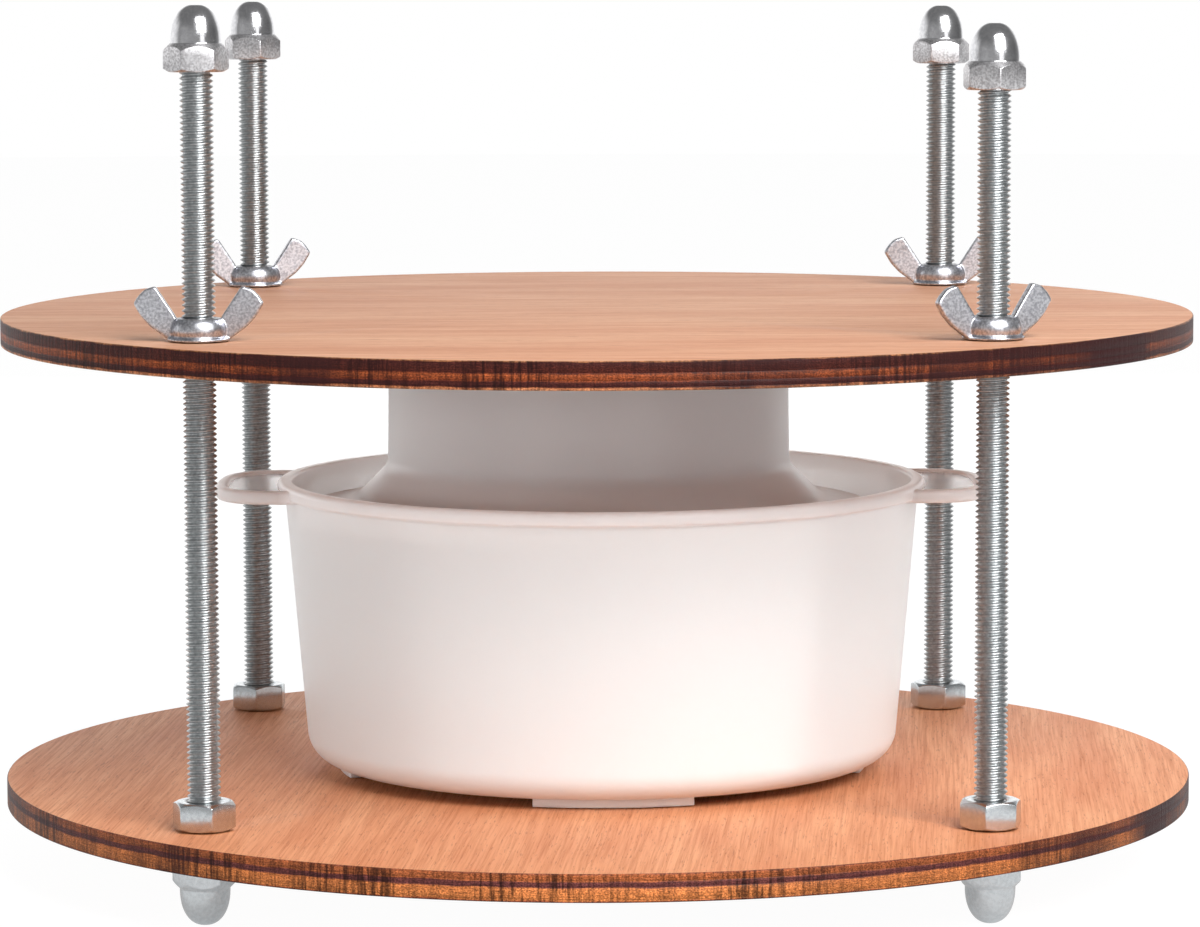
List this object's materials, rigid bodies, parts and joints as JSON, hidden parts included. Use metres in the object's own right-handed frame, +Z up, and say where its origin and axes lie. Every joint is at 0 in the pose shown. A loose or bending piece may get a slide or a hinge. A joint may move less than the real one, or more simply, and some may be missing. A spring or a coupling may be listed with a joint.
{
  "type": "cheese press",
  "caption": "Screw-down cheese press: wing nuts on threaded rods force a round plywood disc down on the hollow piston of a white plastic mould, which stands on a like disc.",
  "frame": {"origin": "on the ground plane, under the common centre of the two discs", "axes": "+Z up along the rods, -Y to the front, +X to the right seen from the front"},
  "size_m": [0.29, 0.29, 0.21],
  "materials": {
    "lower_plywood": "oiled plywood, grain front to back, laser-browned edge",
    "upper_plywood": "oiled plywood, grain left to right, laser-browned edge",
    "zinc_steel": "bright zinc plating",
    "mould_plastic": "moulded milky white polypropylene",
    "piston_plastic": "moulded milky grey polypropylene"
  },
  "bodies": {
    "base": {"lower_disc": "lower_plywood", "threaded_rod_front_left": "zinc_steel", "threaded_rod_front_right": "zinc_steel", "threaded_rod_back_left": "zinc_steel", "threaded_rod_back_right": "zinc_steel", "base_hex_nut_front_left": "zinc_steel", "base_hex_nut_front_right": "zinc_steel", "base_hex_nut_back_left": "zinc_steel", "base_hex_nut_back_right": "zinc_steel", "foot_cap_nut_front_left": "zinc_steel", "foot_cap_nut_front_right": "zinc_steel", "foot_cap_nut_back_left": "zinc_steel", "foot_cap_nut_back_right": "zinc_steel", "top_cap_nut_front_left": "zinc_steel", "top_cap_nut_front_right": "zinc_steel", "top_cap_nut_back_left": "zinc_steel", "top_cap_nut_back_right": "zinc_steel"},
    "pressing_disc": {"upper_disc": "upper_plywood"},
    "wing_nut_front_left": {"wing_nut_front_left": "zinc_steel"},
    "wing_nut_front_right": {"wing_nut_front_right": "zinc_steel"},
    "wing_nut_back_left": {"wing_nut_back_left": "zinc_steel"},
    "wing_nut_back_right": {"wing_nut_back_right": "zinc_steel"},
    "mould": {"cheese_mould": "mould_plastic"},
    "piston": {"piston": "piston_plastic"}
  },
  "joints": [
    {"name": "disc_slide", "type": "slide", "parent": "base", "child": "pressing_disc", "axis": [0, 0, 1], "range_m": [0, 0.045]},
    {"name": "wing_nut_front_left_spin", "type": "hinge", "parent": "pressing_disc", "child": "wing_nut_front_left", "pos_m": [-0.09, -0.09, 0.1343], "axis": [0, 0, 1], "range_deg": [0, 12960]},
    {"name": "wing_nut_front_right_spin", "type": "hinge", "parent": "pressing_disc", "child": "wing_nut_front_right", "pos_m": [0.09, -0.09, 0.1343], "axis": [0, 0, 1], "range_deg": [0, 12960]},
    {"name": "wing_nut_back_left_spin", "type": "hinge", "parent": "pressing_disc", "child": "wing_nut_back_left", "pos_m": [-0.09, 0.09, 0.1343], "axis": [0, 0, 1], "range_deg": [0, 12960]},
    {"name": "wing_nut_back_right_spin", "type": "hinge", "parent": "pressing_disc", "child": "wing_nut_back_right", "pos_m": [0.09, 0.09, 0.1343], "axis": [0, 0, 1], "range_deg": [0, 12960]},
    {"name": "mould_slide", "type": "slide", "parent": "base", "child": "mould", "axis": [0, 1, 0], "range_m": [-0.058, 0.058]},
    {"name": "piston_slide", "type": "slide", "parent": "mould", "child": "piston", "axis": [0, 0, 1], "range_m": [0, 0.045]}
  ],
  "couplings": [
    {"joint": "wing_nut_front_left_spin", "follows": "disc_slide", "rad_per_m": 5026.5},
    {"joint": "wing_nut_front_right_spin", "follows": "disc_slide", "rad_per_m": 5026.5},
    {"joint": "wing_nut_back_left_spin", "follows": "disc_slide", "rad_per_m": 5026.5},
    {"joint": "wing_nut_back_right_spin", "follows": "disc_slide", "rad_per_m": 5026.5},
    {"joint": "piston_slide", "follows": "disc_slide", "ratio": 1}
  ]
}
